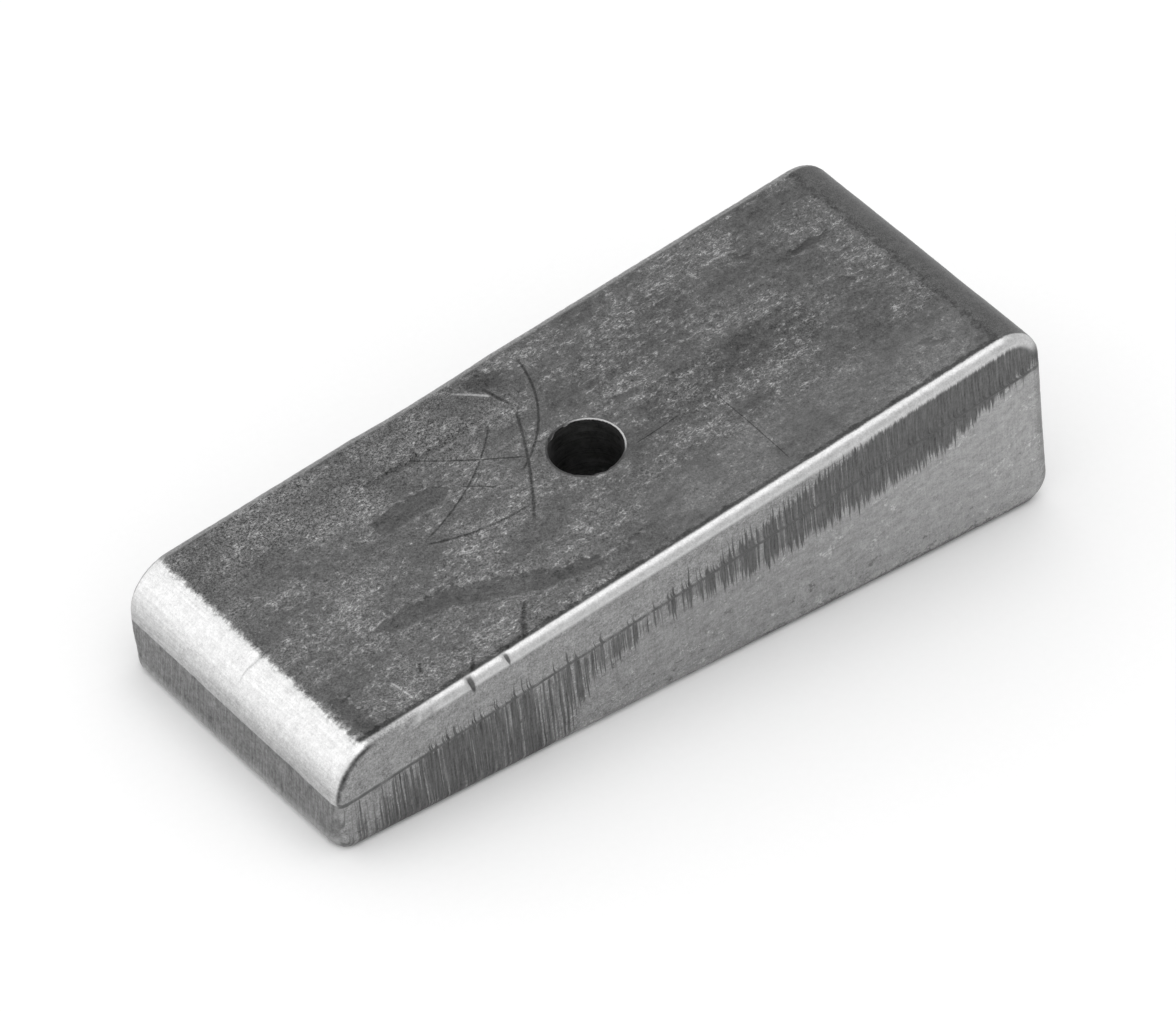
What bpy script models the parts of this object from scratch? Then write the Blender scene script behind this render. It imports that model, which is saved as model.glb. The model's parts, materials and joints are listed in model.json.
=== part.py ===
"""Forged steel felling wedge: one solid block with a bore through its sloping top.

Units are metres, +Z is up and +X runs from the thin toe to the thick heel. The base lies on Z = 0.
"""
import bpy
import bmesh
from math import asin, ceil, cos, pi, radians, sin, tan
from mathutils import Vector

# ---- Block, as seen from the side; corners are measured before they are rounded
TOP_LENGTH = 0.127        # toe corner to heel corner, along the sloping top
WIDTH = 0.050
TOE_HEIGHT = 0.0174
TOP_SLOPE = radians(8.1)  # climb of the top, from the toe to the heel
TOE_LEAN = radians(3.0)   # the toe face leans out at the top by this much

# ---- Rounded edges
TOE_TOP_RADIUS = 0.008
TOE_BASE_RADIUS = 0.002
HEEL_TOP_RADIUS = 0.0068
HEEL_BASE_RADIUS = 0.0042
SIDE_EDGE_RADIUS = 0.0016

# ---- Flash line: the low ridge left all round where the two forging dies met
FLASH_DEPTH = 0.0082      # below the top face, and parallel to it
FLASH_HEIGHT = 0.00025
FLASH_WIDTH = 0.0008

# ---- Bore, square to the top face
BORE_RADIUS = 0.0055
BORE_STATION = 0.0635     # from the toe corner, along the top
BORE_CHAMFER = 0.0004
CUTTER_OVERRUN = 0.004    # how far the cutter stands past the metal at both ends

# ---- Smoothness of the curved stretches
FACET_SAG = 0.00004       # largest gap between an arc and its facets
BORE_SIDES = 48
SHARP_ANGLE = radians(35)

STEEL_GREY = (0.36, 0.36, 0.37, 1.0)

TOP_DIRECTION = Vector((cos(TOP_SLOPE), 0.0, sin(TOP_SLOPE)))
TOP_NORMAL = Vector((-sin(TOP_SLOPE), 0.0, cos(TOP_SLOPE)))
TOE_CORNER = Vector((0.0, 0.0, TOE_HEIGHT))


def clear_scene():
    for item in list(bpy.data.objects):
        bpy.data.objects.remove(item, do_unlink=True)


def forged_steel():
    material = bpy.data.materials.new("forged_steel")
    material.use_nodes = True
    shader = material.node_tree.nodes["Principled BSDF"]
    shader.inputs["Base Color"].default_value = STEEL_GREY
    shader.inputs["Metallic"].default_value = 1.0
    shader.inputs["Roughness"].default_value = 0.45
    return material


def rounded_corner(before, corner, after, radius):
    """Points of the arc that rounds one corner of an outline, both ends included."""
    back = (before - corner).normalized()
    ahead = (after - corner).normalized()
    half_angle = back.angle(ahead) / 2
    centre = corner + (back + ahead).normalized() * radius / sin(half_angle)
    start = corner + back * radius / tan(half_angle) - centre
    end = corner + ahead * radius / tan(half_angle) - centre
    sweep = start.angle(end)
    largest_step = 4 * asin((FACET_SAG / (2 * radius)) ** 0.5)
    steps = max(3, ceil(sweep / largest_step))
    return [centre + start.slerp(end, step / steps) * radius for step in range(steps + 1)]


def side_outline():
    """The block's side view, from the toe's base corner round by the heel, in the XZ plane."""
    heel_corner = TOE_CORNER + TOP_DIRECTION * TOP_LENGTH
    toe_base = Vector((TOE_HEIGHT * tan(TOE_LEAN), 0.0, 0.0))
    heel_base = Vector((heel_corner.x + heel_corner.z * tan(TOP_SLOPE), 0.0, 0.0))
    corners = [
        (toe_base, TOE_BASE_RADIUS),
        (heel_base, HEEL_BASE_RADIUS),
        (heel_corner, HEEL_TOP_RADIUS),
        (TOE_CORNER, TOE_TOP_RADIUS),
    ]
    outline = []
    for index, (corner, radius) in enumerate(corners):
        before = corners[index - 1][0]
        after = corners[(index + 1) % len(corners)][0]
        outline += rounded_corner(before, corner, after, radius)
    return outline


def raise_flash_line(mesh):
    """Cut a band round the block at the die parting and pull its middle out into a ridge."""
    parting = TOE_CORNER - TOP_NORMAL * FLASH_DEPTH
    for offset in (-FLASH_WIDTH / 2, 0.0, FLASH_WIDTH / 2):
        bmesh.ops.bisect_plane(
            mesh,
            geom=mesh.verts[:] + mesh.edges[:] + mesh.faces[:],
            dist=1e-7,
            plane_co=parting + TOP_NORMAL * offset,
            plane_no=TOP_NORMAL,
        )
    mesh.normal_update()
    crest = [v for v in mesh.verts if abs((v.co - parting).dot(TOP_NORMAL)) < FLASH_WIDTH / 100]
    outward = [v.normal - TOP_NORMAL * v.normal.dot(TOP_NORMAL) for v in crest]
    for vert, direction in zip(crest, outward):
        vert.co += direction.normalized() * FLASH_HEIGHT


def wedge_block(material):
    """The solid block: side view drawn across the width, side edges rounded, ridge raised."""
    mesh = bmesh.new()
    near = [mesh.verts.new(point - Vector((0.0, WIDTH / 2, 0.0))) for point in side_outline()]
    near_side = mesh.faces.new(near)
    swept = bmesh.ops.extrude_face_region(mesh, geom=[near_side])
    far_verts = [item for item in swept["geom"] if isinstance(item, bmesh.types.BMVert)]
    far_side = next(item for item in swept["geom"] if isinstance(item, bmesh.types.BMFace))
    bmesh.ops.translate(mesh, vec=(0.0, WIDTH, 0.0), verts=far_verts)
    side_edges = near_side.edges[:] + far_side.edges[:]
    bmesh.ops.bevel(
        mesh,
        geom=side_edges,
        offset=SIDE_EDGE_RADIUS,
        offset_type="OFFSET",
        affect="EDGES",
        segments=5,
        profile=0.5,
        clamp_overlap=True,
    )
    bmesh.ops.recalc_face_normals(mesh, faces=mesh.faces)
    raise_flash_line(mesh)

    data = bpy.data.meshes.new("wedge_body")
    mesh.to_mesh(data)
    mesh.free()
    data.materials.append(material)
    data.shade_smooth()
    data.set_sharp_from_angle(angle=SHARP_ANGLE)
    block = bpy.data.objects.new("wedge_body", data)
    bpy.context.collection.objects.link(block)

    stations = [vertex.co.x for vertex in data.vertices]
    block.location.x = -(min(stations) + max(stations)) / 2
    return block


def bore_cutter(block):
    """A turned plug square to the top face, flared at the mouth so that it leaves a chamfer."""
    mouth = TOE_CORNER + TOP_DIRECTION * BORE_STATION
    metal_length = mouth.z / cos(TOP_SLOPE)
    bottom = -(metal_length + BORE_RADIUS * tan(TOP_SLOPE) + CUTTER_OVERRUN)
    half_section = [
        (0.0, CUTTER_OVERRUN),
        (BORE_RADIUS + BORE_CHAMFER + CUTTER_OVERRUN, CUTTER_OVERRUN),
        (BORE_RADIUS, -BORE_CHAMFER),
        (BORE_RADIUS, bottom),
        (0.0, bottom),
    ]
    mesh = bmesh.new()
    verts = [mesh.verts.new((radius, 0.0, height)) for radius, height in half_section]
    edges = [mesh.edges.new(pair) for pair in zip(verts, verts[1:])]
    bmesh.ops.spin(
        mesh,
        geom=verts + edges,
        cent=(0.0, 0.0, 0.0),
        axis=(0.0, 0.0, 1.0),
        angle=2 * pi,
        steps=BORE_SIDES,
        use_merge=True,
    )
    bmesh.ops.remove_doubles(mesh, verts=mesh.verts, dist=1e-6)
    bmesh.ops.recalc_face_normals(mesh, faces=mesh.faces)
    data = bpy.data.meshes.new("bore_cutter")
    mesh.to_mesh(data)
    mesh.free()
    cutter = bpy.data.objects.new("bore_cutter", data)
    bpy.context.collection.objects.link(cutter)
    cutter.parent = block
    cutter.location = mouth
    cutter.rotation_euler.y = -TOP_SLOPE
    cutter.hide_render = True
    cutter.display_type = "WIRE"
    return cutter


def main():
    clear_scene()
    block = wedge_block(forged_steel())
    bore = block.modifiers.new("bore", "BOOLEAN")
    bore.operation = "DIFFERENCE"
    bore.solver = "EXACT"
    bore.object = bore_cutter(block)


main()
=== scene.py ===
"""Forged steel felling wedge: its surface, steel and studio, on the frame of its solid model.

Meshes are in metres. Patterns on the steel are drawn in millimetres on the die axes: along the
sloping top from the toe corner, across the width, and depth below the top face.
"""
import json
from math import atan2, copysign, cos, pi, radians, sin, tan

import bmesh
import bpy
import numpy as np
from mathutils import Matrix, Vector
from mathutils.noise import noise as noise_at


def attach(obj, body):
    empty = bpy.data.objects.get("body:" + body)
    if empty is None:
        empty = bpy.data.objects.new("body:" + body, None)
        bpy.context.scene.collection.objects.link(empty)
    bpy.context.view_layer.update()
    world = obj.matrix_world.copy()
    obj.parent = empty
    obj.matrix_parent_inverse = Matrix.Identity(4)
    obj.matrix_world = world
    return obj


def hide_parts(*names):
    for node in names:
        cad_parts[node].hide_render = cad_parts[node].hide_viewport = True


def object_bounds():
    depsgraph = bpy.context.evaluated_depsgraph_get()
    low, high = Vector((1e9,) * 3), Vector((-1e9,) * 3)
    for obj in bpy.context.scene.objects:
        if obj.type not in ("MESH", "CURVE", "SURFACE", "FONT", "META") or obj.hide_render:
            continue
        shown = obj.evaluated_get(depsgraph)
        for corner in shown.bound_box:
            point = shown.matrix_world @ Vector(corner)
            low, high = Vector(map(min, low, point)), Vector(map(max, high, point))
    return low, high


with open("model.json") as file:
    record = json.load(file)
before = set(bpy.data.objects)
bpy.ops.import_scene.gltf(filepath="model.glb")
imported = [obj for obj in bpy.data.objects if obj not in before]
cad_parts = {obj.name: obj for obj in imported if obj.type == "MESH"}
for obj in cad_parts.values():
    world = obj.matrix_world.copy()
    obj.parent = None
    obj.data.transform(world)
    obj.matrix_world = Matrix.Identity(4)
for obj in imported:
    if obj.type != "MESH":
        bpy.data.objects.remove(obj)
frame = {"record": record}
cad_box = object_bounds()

# ==== The wedge.
# A short block of bare steel, drop forged between two dies, trimmed at its flash line and drilled.
# It is one solid piece, so nothing is fixed to it or set into it. It rests on its flat base.

# ---- Its block: a four-cornered side view with a different round at each corner, and one small
# round along both side edges.

TOP_LENGTH = 0.127
TOE_LEAN = radians(3.0)
TOE_TOP_RADIUS = 0.008
TOE_BASE_RADIUS = 0.002
HEEL_TOP_RADIUS = 0.0068
HEEL_BASE_RADIUS = 0.0042
SIDE_EDGE_RADIUS = 0.0016
FLASH_DEPTH = 0.0082
FLASH_HEIGHT = 0.00025
FLASH_WIDTH = 0.0008

COLUMNS = 400           # mesh steps along the top
ROWS_ABOVE_FLASH = 19   # mesh rows on the walls, above the flash ridge and below it
ROWS_BELOW_FLASH = 34
STEPS_ACROSS = 78
EDGE_STEPS = 4          # mesh steps round a side edge
ARC_SAMPLES = 40        # points that trace half of a corner round

mounts = {mount["name"]: mount for mount in frame["record"]["mounts"]}
lifting_face = mounts["lifting_face"]
striking_face = mounts["striking_face"]
ALONG = Vector(striking_face["axis"]).normalized()
UPWARD = Vector(lifting_face["axis"]).normalized()
on_top = Vector(lifting_face["pos_m"])
heel_corner = on_top + ALONG * (Vector(striking_face["pos_m"]) - on_top).dot(ALONG)
toe_corner = heel_corner - ALONG * TOP_LENGTH
HALF_WIDTH = (cad_box[1].y - cad_box[0].y) / 2 - FLASH_HEIGHT

slope = atan2(ALONG.z, ALONG.x)
toe_slant = slope - TOE_LEAN    # the toe face, measured from square to the top
corners = {
    "toe_top": (np.array((0.0, 0.0)), TOE_TOP_RADIUS),
    "heel_top": (np.array((TOP_LENGTH, 0.0)), HEEL_TOP_RADIUS),
    "heel_base": (np.array((TOP_LENGTH, heel_corner.z / cos(slope))), HEEL_BASE_RADIUS),
    "toe_base": (
        np.array((-sin(toe_slant), cos(toe_slant))) * toe_corner.z / cos(TOE_LEAN),
        TOE_BASE_RADIUS,
    ),
}
facing = {
    "top": -pi / 2,
    "heel": 0.0,
    "base": pi / 2 + slope,
    "toe": pi + toe_slant,
    "top_again": 1.5 * pi,
}


def outward(angle):
    return np.stack((np.cos(angle), np.sin(angle)), -1)


def face_line(corner_before, corner_after, face_before, face, face_after, stations):
    """Points and outward normals in the side view, from mid-corner to mid-corner of one face.

    stations takes the line's depths and lengths and gives the lengths at which points stand.
    """
    ends = []
    for (corner, radius), neighbour in (
        (corners[corner_before], face_before),
        (corners[corner_after], face_after),
    ):
        normals = outward(np.array((face, neighbour)))
        centre = corner - normals.sum(0) * radius / (1 + normals[0] @ normals[1])
        ends.append((centre, radius, (face + neighbour) / 2))
    first = np.linspace(ends[0][2], face, ARC_SAMPLES)
    last = np.linspace(face, ends[1][2], ARC_SAMPLES)
    points = np.concatenate(
        (ends[0][0] + ends[0][1] * outward(first), ends[1][0] + ends[1][1] * outward(last))
    )
    angles = np.concatenate((first, last))
    lengths = np.append(0.0, np.cumsum(np.hypot(*np.diff(points, axis=0).T)))
    wanted = stations(points, lengths)
    spots = np.stack([np.interp(wanted, lengths, points[:, axis]) for axis in (0, 1)], -1)
    return spots, outward(np.interp(wanted, lengths, angles))


def evenly(points, lengths):
    return np.linspace(0.0, lengths[-1], COLUMNS + 1)


def rows_round_flash(points, lengths):
    """Rows down an end wall, with three of them on the flash ridge: foot, crest and foot."""
    depths = points[:, 1]
    if depths[0] > depths[-1]:
        return lengths[-1] - rows_round_flash(points[::-1], lengths[-1] - lengths[::-1])[::-1]
    ridge = np.interp(FLASH_DEPTH + np.array((-0.5, 0.0, 0.5)) * FLASH_WIDTH, depths, lengths)
    above = np.linspace(0.0, ridge[0], ROWS_ABOVE_FLASH + 1)
    below = np.linspace(ridge[2], lengths[-1], ROWS_BELOW_FLASH + 1)
    return np.concatenate((above, ridge[1:2], below))


def flat_between_rounds(points, lengths):
    """Steps along the base that keep its flat stretch apart from the two rounded corners."""
    starts = lengths[ARC_SAMPLES - 1]
    ends = lengths[ARC_SAMPLES]
    step = lengths[-1] / COLUMNS
    first = max(2, round(starts / step))
    last = max(2, round((lengths[-1] - ends) / step))
    middle = COLUMNS - first - last
    return np.concatenate(
        (
            np.linspace(0.0, starts, first + 1)[:-1],
            np.linspace(starts, ends, middle + 1),
            np.linspace(ends, lengths[-1], last + 1)[1:],
        )
    )


top_line = face_line(
    "toe_top", "heel_top", facing["toe"] - 2 * pi, facing["top"], facing["heel"], evenly
)
heel_line = face_line(
    "heel_top", "heel_base", facing["top"], facing["heel"], facing["base"], rows_round_flash
)
base_line = face_line(
    "heel_base", "toe_base", facing["heel"], facing["base"], facing["toe"], flat_between_rounds
)
toe_line = face_line(
    "toe_base", "toe_top", facing["base"], facing["toe"], facing["top_again"], rows_round_flash
)


def die_point(spots, across):
    """World points from side-view spots (along, depth) and a place across the width."""
    spots = np.asarray(spots)
    return (
        np.array(toe_corner)
        + spots[..., :1] * np.array(ALONG)
        - spots[..., 1:] * np.array(UPWARD)
        + np.asarray(across)[..., None] * np.array((0.0, 1.0, 0.0))
    )


def filled(upper, lower, left, right):
    """A grid of spots between four border lines, each given from left to right or top to bottom."""
    s = np.linspace(0.0, 1.0, len(upper))[None, :, None]
    t = np.linspace(0.0, 1.0, len(left))[:, None, None]
    sides = (1 - s) * left[:, None] + s * right[:, None]
    ends = (1 - t) * upper[None] + t * lower[None]
    twist = (1 - s) * ((1 - t) * upper[0] + t * lower[0]) + s * ((1 - t) * upper[-1] + t * lower[-1])
    return sides + ends - twist


def inset(line, distance):
    return line[0] - line[1] * distance


def add_grid(mesh, points):
    rows = [[mesh.verts.new(point) for point in row] for row in points]
    for upper, lower in zip(rows, rows[1:]):
        for quad in zip(upper, upper[1:], lower[1:], lower):
            mesh.faces.new(quad)
    return rows


crest_row = ROWS_ABOVE_FLASH + 1
block_mesh = bmesh.new()
lines = (top_line, heel_line, base_line, toe_line)
flat_half_width = HALF_WIDTH - SIDE_EDGE_RADIUS
across_steps = np.linspace(-flat_half_width, flat_half_width, STEPS_ACROSS + 1)

flat_base = np.abs(outward(facing["base"]) - base_line[1]).max(1) < 1e-6
base_start = np.argmax(flat_base)
base_end = len(flat_base) - 1 - np.argmax(flat_base[::-1])
over_top = np.concatenate(
    (
        base_line[0][base_end:],
        toe_line[0][1:],
        top_line[0][1:],
        heel_line[0][1:],
        base_line[0][1:base_start + 1],
    )
)
add_grid(block_mesh, [die_point(over_top, np.full(len(over_top), across)) for across in across_steps])

for side in (-1.0, 1.0):
    rings = []
    for turn in np.linspace(0.0, pi / 2, EDGE_STEPS + 1):
        sunk = SIDE_EDGE_RADIUS * (1 - cos(turn))
        ring = np.concatenate([inset(line, sunk)[:-1] for line in lines])
        ring = np.concatenate((ring, ring[:1]))
        across = side * (flat_half_width + SIDE_EDGE_RADIUS * sin(turn))
        rings.append(die_point(ring, np.full(len(ring), across)))
    add_grid(block_mesh, rings)

    top = inset(top_line, SIDE_EDGE_RADIUS)
    heel = inset(heel_line, SIDE_EDGE_RADIUS)
    base = inset(base_line, SIDE_EDGE_RADIUS)[::-1]
    toe = inset(toe_line, SIDE_EDGE_RADIUS)[::-1]
    share = np.linspace(0.0, 1.0, COLUMNS + 1)[:, None]
    ridge_rows = [toe[row] * (1 - share) + heel[row] * share for row in range(crest_row - 1, crest_row + 2)]
    upper = filled(top, ridge_rows[0], toe[:crest_row], heel[:crest_row])
    lower = filled(ridge_rows[2], base, toe[crest_row + 1:], heel[crest_row + 1:])
    spots = np.concatenate((upper, ridge_rows[1][None], lower))
    add_grid(block_mesh, die_point(spots, np.full(spots.shape[:2], side * HALF_WIDTH)))

bmesh.ops.remove_doubles(block_mesh, verts=block_mesh.verts, dist=1e-6)
base_hole = [edge for edge in block_mesh.edges if edge.is_boundary]
bmesh.ops.contextual_create(block_mesh, geom=base_hole)
bmesh.ops.recalc_face_normals(block_mesh, faces=block_mesh.faces)
block_data = bpy.data.meshes.new("wedge_forging")
block_mesh.to_mesh(block_data)
block_mesh.free()
block_data.shade_smooth()
wedge = bpy.data.objects.new("wedge_forging", block_data)
bpy.context.collection.objects.link(wedge)


# ---- Its bore: drilled square to the top once the forging was trimmed. The scale round the mouth
# broke back unevenly, most of all on the toe side.

BORE_STATION = 0.0635
BORE_RADIUS = 0.0055
BORE_CHAMFER = 0.00015
BORE_SIDES = 96
MOUTH_CHIPS = 0.0006    # depth to which scale broke off the mouth
CUTTER_OVERRUN = 0.004

bore_mouth = toe_corner + ALONG * BORE_STATION
metal_length = bore_mouth.z / cos(slope)
bore_end = metal_length + BORE_RADIUS * tan(slope) + CUTTER_OVERRUN
half_section = (
    (0.0, CUTTER_OVERRUN),
    (BORE_RADIUS + BORE_CHAMFER + CUTTER_OVERRUN, CUTTER_OVERRUN),
    (BORE_RADIUS, -BORE_CHAMFER),
    (BORE_RADIUS, -bore_end),
    (0.0, -bore_end),
)
cutter_mesh = bmesh.new()
section = [cutter_mesh.verts.new((radius, 0.0, height)) for radius, height in half_section]
section += [cutter_mesh.edges.new(pair) for pair in zip(section, section[1:])]
bmesh.ops.spin(
    cutter_mesh,
    geom=section,
    cent=(0.0, 0.0, 0.0),
    axis=(0.0, 0.0, 1.0),
    angle=2 * pi,
    steps=BORE_SIDES,
    use_merge=True,
)
bmesh.ops.remove_doubles(cutter_mesh, verts=cutter_mesh.verts, dist=1e-6)
for vert in cutter_mesh.verts:
    if abs(vert.co.z + BORE_CHAMFER) < 1e-6:
        chipped = noise_at((vert.co.x * 900, vert.co.y * 900, 4.0))
        vert.co.z -= MOUTH_CHIPS * max(0.0, chipped) * (1.0 - vert.co.x / BORE_RADIUS)
bmesh.ops.recalc_face_normals(cutter_mesh, faces=cutter_mesh.faces)
cutter_mesh.transform(Matrix.Translation(bore_mouth) @ Matrix.Rotation(-slope, 4, "Y"))
cutter_data = bpy.data.meshes.new("bore_cutter")
cutter_mesh.to_mesh(cutter_data)
cutter_mesh.free()
cutter = bpy.data.objects.new("bore_cutter", cutter_data)
bpy.context.collection.objects.link(cutter)


# ---- Patterns that its relief and its colour share. The trimming tool dragged grooves down the
# walls, square to the top, where it touched them. One band of them crosses each long side, from
# the base at the toe to the top edge at the heel.


class Field:
    """A value that varies over the steel: a socket of a node tree that takes arithmetic."""

    def __init__(self, tree, socket):
        self.tree = tree
        self.socket = socket

    def node(self, kind, settings, sockets, output=0):
        """Add any other node: its settings are made first, then its sockets are set or linked."""
        node = self.tree.nodes.new(kind)
        for name, value in settings.items():
            setattr(node, name, value)
        for name, value in sockets.items():
            if isinstance(value, Field):
                self.tree.links.new(value.socket, node.inputs[name])
            else:
                node.inputs[name].default_value = value
        return Field(self.tree, node.outputs[output])

    def maths(self, operation, *values):
        return self.node("ShaderNodeMath", {"operation": operation}, dict(enumerate(values)))

    def __add__(self, other):
        return self.maths("ADD", self, other)

    def __radd__(self, other):
        return self.maths("ADD", other, self)

    def __sub__(self, other):
        return self.maths("SUBTRACT", self, other)

    def __rsub__(self, other):
        return self.maths("SUBTRACT", other, self)

    def __mul__(self, other):
        return self.maths("MULTIPLY", self, other)

    def __rmul__(self, other):
        return self.maths("MULTIPLY", other, self)

    def __truediv__(self, other):
        return self.maths("DIVIDE", self, other)

    def __abs__(self):
        return self.maths("ABSOLUTE", self)

    def __pow__(self, power):
        return self.maths("POWER", self, power)

    def least(self, other):
        return self.maths("MINIMUM", self, other)

    def most(self, other):
        return self.maths("MAXIMUM", self, other)

    def rise(self, low, high):
        """0 at low and 1 at high, with a soft climb between them."""
        return self.node(
            "ShaderNodeMapRange",
            {"interpolation_type": "SMOOTHSTEP"},
            {"Value": self, "From Min": low, "From Max": high},
        )

    def blend(self, other, share):
        """This value where share is 0 and the other where it is 1."""
        return self + (other - self) * share


def noise(x, y, z, detail=2.0, roughness=0.5):
    """Noise round 0, with features about one unit of x, y and z across."""
    spot = x.node("ShaderNodeCombineXYZ", {}, {"X": x, "Y": y, "Z": z})
    sockets = {"Vector": spot, "Scale": 1.0, "Detail": detail, "Roughness": roughness}
    return spot.node("ShaderNodeTexNoise", {}, sockets) - 0.5


class DiePlace:
    """Where a point of the steel lies on the die axes, in millimetres."""

    def __init__(self, position):
        settings = {"operation": "SUBTRACT"}
        from_corner = position.node("ShaderNodeVectorMath", settings, {0: position, 1: toe_corner})

        def measured(axis):
            sockets = {0: from_corner, 1: axis * 1000}
            return position.node("ShaderNodeVectorMath", {"operation": "DOT_PRODUCT"}, sockets, "Value")

        self.along = measured(ALONG)
        self.across = measured(Vector((0.0, 1.0, 0.0)))
        self.depth = measured(-UPWARD)
        self.above_base = toe_corner.z * 1000 + measured(Vector((0.0, 0.0, 1.0)))
        self.lane = self.along + self.across
        self.from_side = HALF_WIDTH * 1000 - abs(self.across)
        self.from_toe = self.along + self.depth * tan(toe_slant)
        self.from_heel = TOP_LENGTH * 1000 - self.along
        bore = self.along - BORE_STATION * 1000
        self.from_bore_axis = (bore * bore + self.across * self.across) ** 0.5
        self.on_end_wall = (self.from_side - self.from_toe.least(self.from_heel)).rise(-0.4, 0.6)
        self.near_face = self.across.rise(0.5, -0.5)


def dimple(place, along, depth, half_length, half_height):
    """1 at the middle of a nick in the near top edge, falling to 0 at its rim."""
    aside = (place.along - along) / half_length
    down = (place.depth - depth) / half_height
    return (1.0 - aside * aside - down * down).most(0.0) * place.near_face * place.from_side.rise(2.0, 0.5)


def trimmed(place):
    """How far the trimming tool dragged the wall here, 0 to 1."""
    coarse = noise(place.lane * 0.7, place.depth * 0.02, place.near_face * 7.0, 1.0, 0.6)
    fine = noise(place.lane * 2.4, place.depth * 0.06, place.near_face * 7.0, 2.0, 0.7)
    reach = noise(place.lane * 1.7, place.near_face * 5.0, 0.0, 2.0, 0.8)
    jittered = place.along + reach * 26.0
    shortened = 1.0 - place.along.rise(55.0, 85.0) * 0.4
    teeth = (fine * 13.0 + reach * 9.0).most(0.0) * place.along.rise(6.0, 18.0) * shortened
    upper = 8.5 - jittered.rise(52.0, 102.0) * 6.8 - teeth
    lower = 27.0 - jittered.rise(34.0, 46.0) * 11.5 - jittered.rise(46.0, 58.0) * 2.2
    lower = lower + jittered.rise(60.0, 74.0) * 1.6 - jittered.rise(100.0, 130.0) * 6.0
    lower = lower + (reach * 8.0 + fine * 5.0) * shortened
    inside = (place.depth - upper).rise(-1.6, 1.0) * (lower - place.depth).rise(-1.5, 3.5)

    started = (jittered + place.depth - 22.0).rise(-6.0, 4.0)
    share = started * 0.25 - jittered.rise(28.0, 36.0) * 0.05 - place.along.rise(50.0, 56.0) * 0.09
    share = share + place.along.rise(58.0, 64.0) * 0.10 + place.along.rise(68.0, 88.0) * 0.11
    share = share + place.along.rise(96.0, 108.0) * 0.08 - 0.11
    strokes = coarse * 0.5 + fine + (reach * 0.7).most(0.0) + share + inside * 0.62 - 0.63
    below_flash = place.depth.rise(FLASH_DEPTH * 1000 - 0.1, FLASH_DEPTH * 1000 + 0.1)
    return strokes.rise(-0.12, 0.15).blend(below_flash, place.on_end_wall)


# ---- Its relief. Scale rolled into the hot top leaves it pitted, the flash stands as a low ridge
# round the walls, and the trimmed walls are grooved. The base stays flat, as it was struck.

PIT_DEPTH = 0.00005
GROOVE_DEPTH = 0.00006
SWELL_DEPTH = 0.0001    # slow unevenness of worn dies
SKIN_ALLOWANCE = 0.00003  # metal lost all over to scale
NICK_DEPTH = 0.0006
SMALL_NICK_DEPTH = 0.0004
DENT_DEPTH = 0.0002     # on the toe round
HOLLOW_DEPTH = 0.00025  # in the far top edge, where a blow bruised it
CORNER_LOSS = 0.0007    # off the two upright toe corners, most of all at the base

relief = bpy.data.node_groups.new("forging_relief", "GeometryNodeTree")
relief.is_modifier = True
interface = relief.interface
interface.new_socket("Geometry", in_out="INPUT", socket_type="NodeSocketGeometry")
relief_sizes = {
    "Flash Height": FLASH_HEIGHT,
    "Flash Width": FLASH_WIDTH,
    "Pit Depth": PIT_DEPTH,
    "Groove Depth": GROOVE_DEPTH,
    "Swell Depth": SWELL_DEPTH,
    "Skin Allowance": SKIN_ALLOWANCE,
    "Corner Loss": CORNER_LOSS,
}
size_sockets = {}
for name in relief_sizes:
    size_sockets[name] = interface.new_socket(name, in_out="INPUT", socket_type="NodeSocketFloat")
steel_socket = interface.new_socket("Steel", in_out="INPUT", socket_type="NodeSocketMaterial")
interface.new_socket("Geometry", in_out="OUTPUT", socket_type="NodeSocketGeometry")

entry = relief.nodes.new("NodeGroupInput")
size = {name: Field(relief, entry.outputs[name]) for name in relief_sizes}
forged = Field(relief, entry.outputs["Geometry"])
steel_given = Field(relief, entry.outputs["Steel"])
here = Field(relief, relief.nodes.new("GeometryNodeInputPosition").outputs[0])
normal = Field(relief, relief.nodes.new("GeometryNodeInputNormal").outputs[0])
place = DiePlace(here)

ridge = (1.0 - abs(place.depth - FLASH_DEPTH * 1000) * 0.001 * 2.0 / size["Flash Width"]).most(0.0)
wall = place.from_side.least(place.from_toe).least(place.from_heel).rise(3.0, 0.5)
pits = noise(place.along * 0.9, place.across * 0.9, place.depth * 0.9, 3.0, 0.6).rise(-0.05, 0.25)
swell = noise(place.along * 0.05, place.across * 0.08, place.depth * 0.08, 1.0).rise(-0.3, 0.3)
grooves = trimmed(place) * (0.5 + noise(place.lane * 1.4, place.depth * 0.02, 0.0, 2.0, 0.7) * 2.0)

nicks = dimple(place, 24.0, 0.2, 0.75, 2.0) * NICK_DEPTH
nicks = nicks + dimple(place, 30.4, 0.2, 0.6, 1.3) * SMALL_NICK_DEPTH
dent_run = (place.along - 4.0) / 2.4
dent_side = (place.across + 0.5) / 0.7
toe_dent = (1.0 - dent_run * dent_run - dent_side * dent_side).most(0.0) * DENT_DEPTH
from_middle = (place.along - 52.0) / 12.0
hollow = (1.0 - from_middle * from_middle).most(0.0) * place.across.rise(21.0, 25.0) * HOLLOW_DEPTH

sunk = size["Skin Allowance"] + pits * size["Pit Depth"] + swell * size["Swell Depth"]
sunk = sunk + grooves * size["Groove Depth"] * wall + nicks + toe_dent + hollow
sunk = sunk * place.above_base.rise(0.0, 1.2)
clear_of_ends = place.from_heel.rise(0.5, 4.0) * place.from_toe.rise(0.5, 4.0)
shift = ridge * wall * size["Flash Height"] * clear_of_ends - sunk
shifted = normal.node("ShaderNodeVectorMath", {"operation": "SCALE"}, {0: normal, "Scale": shift})

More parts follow.
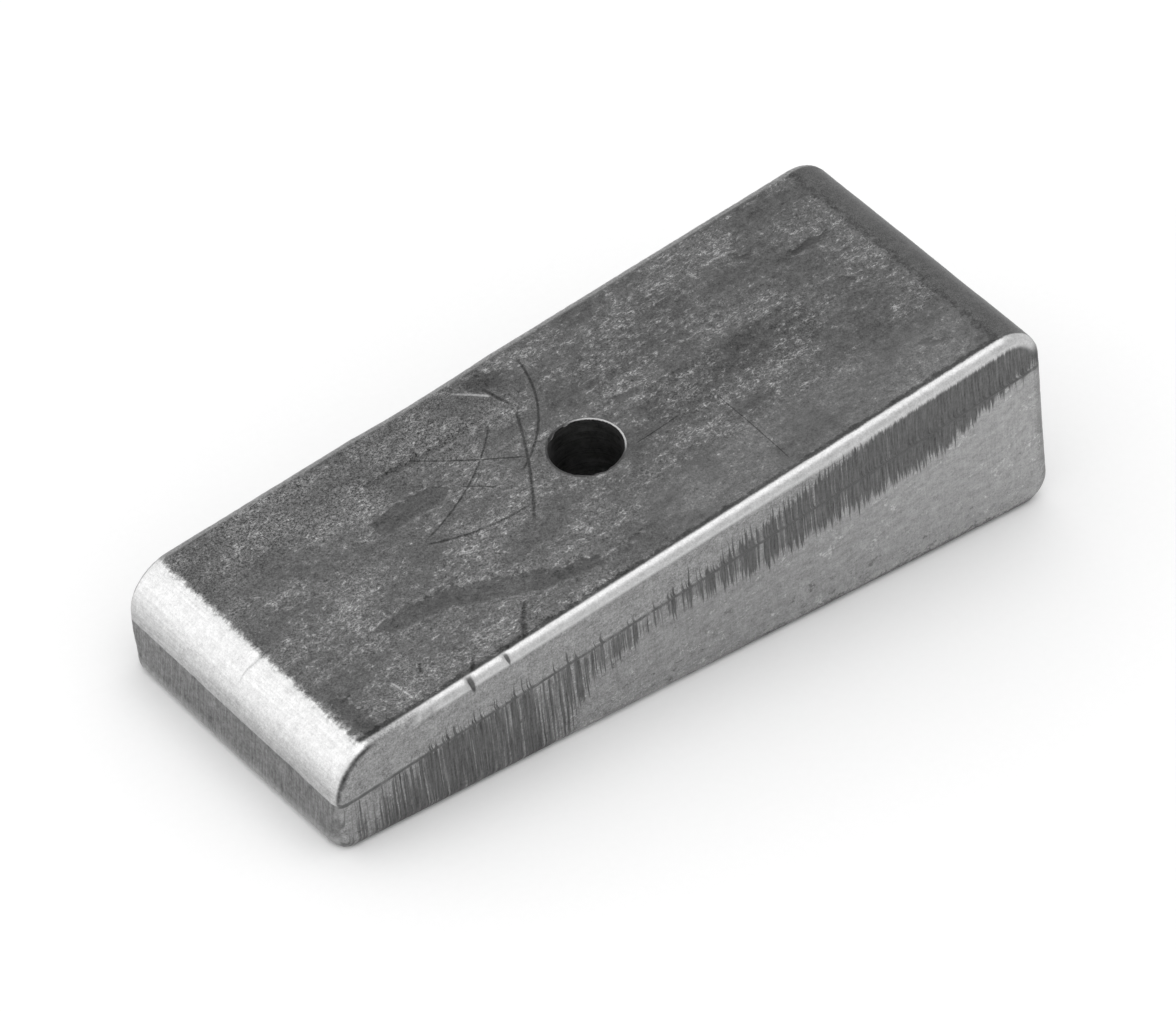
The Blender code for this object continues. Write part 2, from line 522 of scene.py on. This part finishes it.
corner = place.from_side.rise(3.0, 0.0) * place.from_toe.rise(3.0, 0.0) * place.above_base.rise(9.0, 0.0)
loss = corner * size["Corner Loss"]
toward_middle = loss * place.across.maths("SIGN", place.across) * -1.0
worn_off = here.node("ShaderNodeCombineXYZ", {}, {"X": loss, "Y": toward_middle, "Z": 0.0})
moved = here.node("ShaderNodeVectorMath", {"operation": "ADD"}, {0: shifted, 1: worn_off})
struck = here.node("GeometryNodeSetPosition", {}, {"Geometry": forged, "Offset": moved})
whole = here.node("GeometryNodeRealizeInstances", {}, {"Geometry": struck})
steeled = here.node("GeometryNodeSetMaterial", {}, {"Geometry": whole, "Material": steel_given})
leave = relief.nodes.new("NodeGroupOutput")
relief.links.new(steeled.socket, leave.inputs["Geometry"])

steel = bpy.data.materials.new("forged_steel")
skin = wedge.modifiers.new("relief", "NODES")
skin.node_group = relief
for name, value in relief_sizes.items():
    skin[size_sockets[name].identifier] = value
skin[steel_socket.identifier] = steel
drilled = wedge.modifiers.new("bore", "BOOLEAN")
drilled.operation = "DIFFERENCE"
drilled.solver = "EXACT"
drilled.object = cutter

evaluated = wedge.evaluated_get(bpy.context.evaluated_depsgraph_get())
finished = bpy.data.meshes.new_from_object(evaluated)
wedge.modifiers.clear()
wedge.data = finished
finished.set_sharp_from_angle(angle=radians(40))
bpy.data.objects.remove(cutter, do_unlink=True)

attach(wedge, "root")
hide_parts("wedge_body")


# ---- Its steel. Black scale covers the top; the toe round and the near top edge are burnished
# bright, with painted highlights in their colour; the walls are bare, and dark where the trimming tool
# dragged them. Tones are shares of light thrown back, from black scale at 0 to a mirror of bare steel at 1.

BLACK_SCALE = (0.0, 0.0, 0.0, 1.0)
BARE_STEEL = (1.0, 1.0, 1.0, 1.0)

# Dark scratches on the top, each an arc: its two ends (along, across), its bulge, its half width.
SCRATCHES = (
    ((67.3, 22.4), (52.8, 1.9), 3.4, 0.19),
    ((61.0, 13.5), (48.5, -7.3), 0.7, 0.24),
    ((56.4, 13.4), (34.4, 0.7), 2.0, 0.15),
    ((34.4, 0.7), (51.6, -3.5), -1.3, 0.20),
    ((42.4, 15.8), (56.6, 4.0), -0.4, 0.14),
    ((45.5, 6.0), (49.5, 2.2), 0.1, 0.10),
    ((69.0, -4.2), (77.5, -4.0), -0.1, 0.08),
    ((83.7, -4.0), (83.4, -22.0), 0.1, 0.08),
    ((38.9, -17.6), (34.0, -24.2), -0.4, 0.40),
    ((27.2, -21.0), (24.2, -24.6), -0.2, 0.32),
    ((31.6, -22.6), (30.6, -24.6), 0.1, 0.22),
    ((59.6, 19.4), (61.0, 13.4), -0.05, 0.26),
)

# Tongues of scale pressed smooth: two ends (along, across) and a half width.
TONGUES = (
    ((21.5, -8.5), (31.5, -9.8), 1.7),
    ((31.5, -10.2), (43.0, -16.0), 2.0),
    ((42.0, -16.2), (50.5, -18.2), 1.4),
    ((50.0, -18.5), (59.0, -18.4), 0.30),
    ((33.0, 7.6), (42.0, 7.4), 2.0),
    ((59.5, 20.8), (62.0, 20.0), 1.7),
    ((36.0, 15.2), (53.0, 14.4), 0.7),
    ((7.6, -15.5), (8.2, -22.5), 1.4),
    ((72.5, 4.6), (75.0, 4.2), 0.8),
    ((110.0, 10.6), (115.0, 10.2), 0.7),
    ((112.4, 1.5), (113.2, -2.0), 0.3),
    ((103.0, 15.6), (104.0, 15.0), 0.6),
    ((112.0, -16.5), (114.0, -18.0), 0.5),
)

steel.use_nodes = True
tree = steel.node_tree
shader = tree.nodes["Principled BSDF"]
shader.inputs["Metallic"].default_value = 1.0
coordinates = tree.nodes.new("ShaderNodeTexCoord")
place = DiePlace(Field(tree, coordinates.outputs["Object"]))


def arc_mark(place, start, end, bulge, half_width):
    """1 on an arc between two spots of the top, fading past its edges and its ends."""
    start = Vector(start)
    end = Vector(end)
    chord = (end - start).normalized()
    aside = Vector((-chord.y, chord.x))
    half = (end - start).length / 2
    middle = (start + end) / 2
    radius = (half * half + bulge * bulge) / (2 * abs(bulge))
    centre = middle + aside * (bulge - copysign(radius, bulge))
    x = place.along - centre.x
    y = place.across - centre.y
    off_arc = abs((x * x + y * y) ** 0.5 - radius)
    run = (place.along - middle.x) * chord.x + (place.across - middle.y) * chord.y
    return off_arc.rise(half_width * 1.6, half_width * 0.4) * abs(run).rise(half, half * 0.8)


def tongue(along, across, start, end, half_width):
    """1 within half_width of the line between two spots, with a soft rim."""
    start = Vector(start)
    line = Vector(end) - start
    x = along - start.x
    y = across - start.y
    share = ((x * line.x + y * line.y) * (1 / line.length_squared)).most(0.0).least(1.0)
    x = x - share * line.x
    y = y - share * line.y
    return ((x * x + y * y) ** 0.5).rise(half_width + 0.35, half_width - 0.35)


grain = noise(place.along * 2.4, place.across * 2.4, place.depth * 2.4, 3.0, 0.8)
fine = noise(place.along * 6.0, place.across * 6.0, place.depth * 6.0, 1.0, 0.6)
mottle = noise(place.along * 0.45, place.across * 0.8, place.depth * 0.8, 4.0, 0.65)
clouds = noise(place.along * 0.07, place.across * 0.13, place.depth * 0.13, 3.0, 0.6)
worms = noise(place.along * 0.75 - place.across * 0.12, place.across * 1.7, place.depth * 1.5, 2.0, 0.6)
broken = noise(place.along * 0.7, place.across * 0.9, place.depth * 0.9 + 40.0, 3.0, 0.7)

# The scaled top.
warped_along = place.along + mottle * 5.0
warped_across = place.across + broken * 3.0
pressed = tongue(warped_along, warped_across, *TONGUES[0])
for each in TONGUES[1:]:
    pressed = pressed.most(tongue(warped_along, warped_across, *each))
scratched = arc_mark(place, *SCRATCHES[0])
for each in SCRATCHES[1:]:
    scratched = scratched.most(arc_mark(place, *each))
toe_half = place.along.rise(70.0, 50.0)
far_half = place.across.rise(8.0, 16.0)
near_strip = place.across.rise(-10.0, -15.0) * place.along.rise(58.0, 66.0)
still = tongue(warped_along, warped_across, (78.0, -1.0), (100.0, -1.5), 4.5)
coarse_grain = 0.6 + toe_half * 0.25 + toe_half * far_half * 0.6 - near_strip * 0.1 - pressed * 0.4
coarse_grain = coarse_grain * (0.65 + clouds.rise(-0.12, 0.12) * 0.6)
veins = (0.035 - abs(worms)).rise(-0.02, 0.03) * (broken + clouds * 0.7).rise(-0.02, 0.2)
veins = veins * (1.0 - near_strip * 0.7) * (1.0 - pressed)
# Painted highlights: bright flecks where facets of the scale catch the light.
fleck_glints = (grain + broken * 0.5 + clouds * 0.3).rise(0.19, 0.29) * (1.0 - pressed)
top_tone = 0.124 + grain * 0.38 * coarse_grain + fine * 0.26 * coarse_grain
top_tone = top_tone + mottle * 0.10 + broken * 0.10 + clouds * 0.16
top_tone = top_tone + toe_half * 0.012 + near_strip * 0.018 - still * 0.022
top_tone = top_tone.most(0.045) + veins * 0.23 + fleck_glints * 0.30
tongue_rims = pressed * (1.0 - pressed) * broken.rise(-0.02, 0.14) * 0.36
top_tone = top_tone - pressed * 0.040 + tongue_rims
top_tone = top_tone * (1.0 - place.from_toe.rise(10.0, 6.5) * broken.rise(-0.02, 0.16) * 0.45)
top_tone = top_tone * (1.0 - scratched * 0.55)
scraped = arc_mark(place, (15.3, -17.2), (15.9, -22.0), 0.05, 0.16)
scraped = scraped.most(arc_mark(place, (55.6, 21.6), (59.8, 17.2), 0.05, 0.2))
top_tone = top_tone + scraped * (broken + 0.12).rise(-0.05, 0.12) * 0.2
rim_shade = abs(place.from_side - 1.9 + broken * 1.2).rise(0.75, 0.25) * place.near_face
top_tone = top_tone * (1.0 - rim_shade * 0.5)
# Painted highlights: bright streaks, drawn-out flecks where the scale catches the light, in a patch toward
# the heel from the bore.
streak_glints = noise(place.along * 0.28 - place.across * 0.07, place.across * 2.1, 20.0, 2.0, 0.6)
streaky = tongue(warped_along, warped_across, (75.0, 11.0), (88.0, 14.0), 5.0)
streak_glints = streak_glints.rise(0.06, 0.2) * (broken + 0.1).rise(0.0, 0.2)
top_tone = top_tone + streak_glints * streaky * 0.17 - streaky * 0.010

# Where the scale ends, measured from each edge of the top and over the round there.
heel_x = (HEEL_TOP_RADIUS * 1000 - place.from_heel).most(0.0)
heel_z = (HEEL_TOP_RADIUS * 1000 - place.depth).most(0.0)
side_edge = HEEL_TOP_RADIUS * 1000 - (heel_x * heel_x + heel_z * heel_z) ** 0.5 - place.from_side
toe_edge = place.depth - place.from_toe
heel_edge = place.depth - place.from_heel
ragged = grain * 1.6 + mottle * 1.2
scale_cover = (ragged * 0.45 - side_edge).rise(1.2, 1.7)
scale_cover = scale_cover * (ragged * 1.5 - heel_edge).rise(-3.5, -2.0)
toe_boundary = toe_edge + ragged * 0.8 + broken * 3.0
scale_cover = scale_cover * toe_boundary.rise(-4.4, -6.0)

# The bare and the trimmed walls.
drag = trimmed(place)
lanes = noise(place.lane * 2.6, place.depth * 0.17, place.near_face * 7.0, 3.0, 0.75)
above_flash = (FLASH_DEPTH * 1000 - place.depth).rise(-0.1, 0.1)
specks = (grain + broken * 0.6).rise(0.14, 0.3)
calm = 1.0 - place.along.rise(30.0, 70.0) * (1.0 - above_flash) * 0.45
wall_tone = 0.30 + mottle * 0.34 + (grain * 0.45 + fine * 0.35) * calm + lanes * 0.14 - specks * 0.10
pocks = noise(place.along * 0.42, place.across * 0.42, place.depth * 0.62, 4.0, 0.75)
glints = pocks.rise(0.08, 0.17) * (grain + 0.1).rise(0.0, 0.2) * 0.22 * (1.0 - above_flash * 0.5)
pocked = pocks.rise(-0.10, -0.17) * (place.above_base + mottle * 30.0).rise(16.0, 4.0)
wall_tone = (wall_tone + glints) * (1.0 - pocked * 0.45)
# Painted light: below the flash line the side wall grows lighter toward the heel.
wall_tone = wall_tone + place.along.rise(60.0, 110.0) * 0.06 * (1.0 - above_flash)
drag_tone = 0.130 + lanes * 0.30 + grain * 0.12
end_drag_and_foot_highlight_tone = 0.220 + lanes * 0.42 + grain * 0.34 + mottle * 0.26 + broken * 0.14
# Painted highlight on the round at the foot of the end walls.
end_drag_and_foot_highlight_tone = end_drag_and_foot_highlight_tone + place.above_base.rise(3.4, 1.0) * 0.20
wall_tone = wall_tone.blend(drag_tone.blend(end_drag_and_foot_highlight_tone, place.on_end_wall), drag)
flash_line = abs(place.depth - FLASH_DEPTH * 1000 - 0.15 + ragged * 0.25).rise(0.5, 0.2)
wall_tone = wall_tone.blend(0.125, flash_line * (0.9 + broken * 2.0).least(1.0) * (1.0 - place.on_end_wall))
on_side_wall = 1.0 - place.on_end_wall
base_chips = (place.above_base + ragged * 2.0).rise(2.0, 0.6)
base_chips = base_chips * (place.along + mottle * 60.0).rise(60.0, 80.0) * on_side_wall
wall_tone = wall_tone * (1.0 - base_chips * 0.55)
# Painted shade: the near wall darkens at its upright heel corner.
heel_corner = (place.from_heel + ragged * 0.8).rise(2.6, 1.0) * place.near_face * on_side_wall
wall_tone = wall_tone * (1.0 - heel_corner * 0.3)

# The burnished near top edge and toe round, with painted highlights: bright colour on the near edge only,
# and on the toe round.
stripe_width = 1.4 + place.along.rise(60.0, 120.0) * 0.7
stripe_softness = 0.7 + place.along.rise(60.0, 120.0) * 1.0
stripe = (abs(side_edge + 0.1 + ragged * 0.3) - stripe_width) / stripe_softness
# Painted highlight: the stripe is drawn on the near side only.
stripe = stripe.rise(0.5, -0.5) * on_side_wall * place.near_face
stripe = stripe * (place.from_toe + mottle * 12.0).rise(9.0, 22.0)
stripe = stripe * (1.0 - drag * side_edge.rise(0.9, 2.0)) * place.depth.rise(6.0, 3.0)
toe_round = toe_boundary.rise(-6.2, -4.4) * above_flash * place.from_toe.rise(20.0, 12.0)
toe_round = toe_round * place.from_side.rise(0.5, 1.0)
stripe_burnish_and_highlight_tone = 0.56 + grain * 0.4 + mottle * 0.3 + fine * 0.25
brushed = noise(place.from_toe * 2.6, place.across * 0.10, place.depth * 2.6, 2.0, 0.7)
toe_burnish_and_highlight_tone = 0.80 + grain * 0.5 + mottle * 0.28 + broken * 0.25 + fine * 0.35 + brushed * 0.3
# Painted shading: the toe round's highlight dims toward the flash line and toward the scale above it.
toe_burnish_and_highlight_tone = toe_burnish_and_highlight_tone - toe_edge.rise(0.5, 8.5) * 0.36 - toe_edge.rise(-3.0, -6.0) * 0.12
tone = wall_tone.blend(stripe_burnish_and_highlight_tone, stripe).blend(toe_burnish_and_highlight_tone, toe_round)
burnish = stripe.most(toe_round)

# The dark edge between the toe round and the sides.
arc_x = (TOE_TOP_RADIUS * 1000 - place.from_toe).most(0.0)
arc_z = (TOE_TOP_RADIUS * 1000 - place.depth).most(0.0)
inside_round = TOE_TOP_RADIUS * 1000 - (arc_x * arc_x + arc_z * arc_z) ** 0.5
toe_edge_shade = (inside_round + ragged * 0.15).rise(0.95, 0.35)
toe_edge_shade = toe_edge_shade * (place.from_side + ragged * 0.15).rise(1.0, 0.5)
toe_edge_shade = toe_edge_shade * place.from_toe.rise(9.0, 6.0) * above_flash
tone = tone * (1.0 - toe_edge_shade * (0.25 + place.near_face * 0.42))

# The top over the walls, then the painted shade in the toe dent and in the nicks that cross both, and the
# smooth scale of the heel round.
tone = tone.blend(top_tone, scale_cover)
# Painted shade along the dent in the toe round.
toe_crease_shade = tongue(place.along, place.across + mottle, (1.0, -0.4), (6.6, -0.9), 0.0)
tone = tone * (1.0 - toe_crease_shade * place.depth.rise(4.0, 2.0) * 0.6)
# Painted shade in the two nicks of the near top edge.
nick_shade = dimple(place, 24.0, 0.2, 0.55, 2.6).most(dimple(place, 30.4, 0.2, 0.4, 1.5))
tone = tone * (1.0 - nick_shade.rise(0.0, 0.6) * 0.75)
heel_border = heel_edge + ragged * 0.5 + broken * 5.0
heel_round = heel_border.rise(-7.2, -6.4) * place.depth.rise(6.0, 3.0) * scale_cover
tone = tone.blend(0.122 + fine * 0.20 + grain * 0.12 + mottle * 0.12, heel_round)
# A broken dark line along the border of the heel round.
heel_border_dark_line = abs(heel_border + 6.7).rise(0.9, 0.2) * broken.rise(-0.16, 0.06) * scale_cover
tone = tone * (1.0 - heel_border_dark_line * 0.4)

# The bore: a dark chipped mouth with a painted highlight on the heel side of its chamfer, and a drilled
# wall darkened with painted shade.
lip = abs(place.from_bore_axis - 5.66 + grain * 0.25).rise(0.20, 0.07)
# Painted highlight on the heel side of the mouth's chamfer.
lip_highlight = (place.along + place.across * 0.3).rise(65.0, 68.5) * lip
tone = tone.blend(0.07 + grain * 0.1 + lip_highlight * 0.45, place.from_bore_axis.rise(5.95, 5.78))
# Painted shade darkens the drilled wall, which also carries drill rings.
in_bore = place.from_bore_axis.rise(5.58, 5.53) * place.depth.rise(0.1, 0.5)
drill_rings = noise(place.depth * 4.0, place.lane * 0.2, 3.0, 1.0, 0.5)
tone = tone.blend(0.225 + drill_rings * 0.3 + grain * 0.3 + mottle * 0.4, in_bore)

rough = 0.46 + mottle * 0.15 - burnish * 0.08 + drag * 0.05
height = grain * 0.03 + fine * 0.012 + mottle * 0.03    # in millimetres


def mixed(share, dark, light):
    """A colour between two others. A Mix node's colour sockets come after its other kinds."""
    return share.node("ShaderNodeMix", {"data_type": "RGBA"}, {0: share, 6: dark, 7: light}, 2)


colour = mixed(tone.most(0.015), BLACK_SCALE, BARE_STEEL)
tree.links.new(colour.socket, shader.inputs["Base Color"])
tree.links.new(rough.socket, shader.inputs["Roughness"])
bump = height.node("ShaderNodeBump", {}, {"Strength": 1.0, "Distance": 0.001, "Height": height})
tree.links.new(bump.socket, shader.inputs["Normal"])


# ==== The floor.
# A wide sheet of white studio paper, laid flat, which the wedge rests on.

FLOOR_HALF_SIZE = 3.0
PAPER_SHADE = (0.89, 0.89, 0.89, 1.0)
PAPER_WHITE = (0.91, 0.91, 0.91, 1.0)

floor_mesh = bmesh.new()
bmesh.ops.create_grid(floor_mesh, x_segments=2, y_segments=2, size=FLOOR_HALF_SIZE)
floor_data = bpy.data.meshes.new("studio_floor")
floor_mesh.to_mesh(floor_data)
floor_mesh.free()
floor = bpy.data.objects.new("studio_floor", floor_data)
bpy.context.collection.objects.link(floor)

paper = bpy.data.materials.new("studio_paper")
paper.use_nodes = True
paper_tree = paper.node_tree
paper_shader = paper_tree.nodes["Principled BSDF"]
paper_shader.inputs["Roughness"].default_value = 0.9
spot = Field(paper_tree, paper_tree.nodes.new("ShaderNodeTexCoord").outputs["Object"])
fibre = spot.node("ShaderNodeTexNoise", {}, {"Vector": spot, "Scale": 900.0, "Detail": 2.0})
paper_tree.links.new(mixed(fibre, PAPER_SHADE, PAPER_WHITE).socket, paper_shader.inputs["Base Color"])
floor_data.materials.append(paper)


# ==== The light.
# An even white tent all round, brighter overhead and behind the toe, whose round it lights up.

TENT_LIGHT = 0.86
OVERHEAD_LIGHT = 1.2
TOE_LIGHT = 0.35
TOE_LIGHT_DIRECTION = (-0.724, 0.582, 0.371)

world = bpy.data.worlds.new("studio_tent")
world.use_nodes = True
tent = world.node_tree
backdrop = tent.nodes["Background"]
backdrop.inputs["Color"].default_value = (1.0, 1.0, 1.0, 1.0)
seen = Field(tent, tent.nodes.new("ShaderNodeTexCoord").outputs["Generated"])


def glow(direction):
    """1 in the heart of a soft light, fading to 0 between 10 and 40 degrees from its middle."""
    sockets = {0: seen, 1: Vector(direction).normalized()}
    facing_it = seen.node("ShaderNodeVectorMath", {"operation": "DOT_PRODUCT"}, sockets, "Value")
    return facing_it.rise(cos(radians(40.0)), cos(radians(10.0)))


light = TENT_LIGHT + glow((0.0, 0.0, 1.0)) * OVERHEAD_LIGHT + glow(TOE_LIGHT_DIRECTION) * TOE_LIGHT
tent.links.new(light.socket, backdrop.inputs["Strength"])
bpy.context.scene.world = world


# ==== The camera.
# A long lens above the near toe corner, a little rolled, aimed at the middle of the block.

CAMERA_AIM = Vector((-0.0019, -0.0005, 0.0153))
CAMERA_DISTANCE = 1.2135
CAMERA_AZIMUTH = radians(-39.48)
CAMERA_ELEVATION = radians(41.09)
CAMERA_ROLL = radians(2.15)

lens = bpy.data.cameras.new("camera")
lens.lens = 260.3
lens.sensor_width = 36.0
camera = bpy.data.objects.new("camera", lens)
away = Vector((sin(CAMERA_AZIMUTH), -cos(CAMERA_AZIMUTH), tan(CAMERA_ELEVATION))).normalized()
level = away.to_track_quat("Z", "Y").to_matrix().to_4x4()
roll = Matrix.Rotation(CAMERA_ROLL, 4, "Z")
camera.matrix_world = Matrix.Translation(CAMERA_AIM + away * CAMERA_DISTANCE) @ level @ roll
bpy.context.collection.objects.link(camera)
bpy.context.scene.camera = camera
bpy.context.scene.view_settings.view_transform = "Standard"
